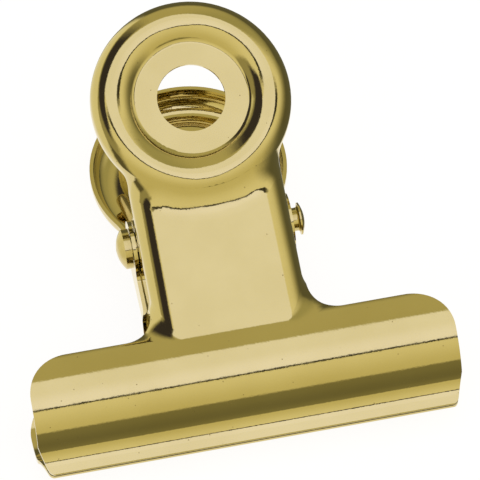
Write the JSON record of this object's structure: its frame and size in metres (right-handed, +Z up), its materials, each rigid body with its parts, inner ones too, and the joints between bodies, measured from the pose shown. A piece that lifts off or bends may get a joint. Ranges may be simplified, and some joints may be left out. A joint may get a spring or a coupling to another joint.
{
  "type": "bulldog clip",
  "caption": "Sprung paper clip with wide rolled jaws, a neck with side walls hinged on a rivet, and round finger rings pierced for hanging.",
  "frame": {"origin": "on the table under the middle of the closed clip's box", "axes": "+X along the rivet towards its peened head, +Y from the jaw to the finger rings, +Z up from the rear plate, which lies on the table, to the front plate"},
  "size_m": [0.05, 0.0524, 0.0285],
  "materials": {
    "polished_brass": "polished and lacquered",
    "rivet_brass": "polished",
    "spring_wire": "plated wire"
  },
  "bodies": {
    "rear": {"rear_plate": "polished_brass", "torsion_spring": "spring_wire"},
    "front": {"front_plate": "polished_brass"},
    "rivet": {"pivot_rivet": "rivet_brass"}
  },
  "joints": [
    {"name": "jaw_hinge", "type": "hinge", "parent": "rear", "child": "front", "pos_m": [0, -0.00013, 0.01], "axis": [-1, 0, 0], "range_deg": [0, 50], "stiffness_Nm_per_rad": 0.25, "deforming": ["torsion_spring"]},
    {"name": "rivet_spin", "type": "hinge", "parent": "rear", "child": "rivet", "pos_m": [0, -0.00013, 0.01], "axis": [1, 0, 0], "continuous": true}
  ]
}
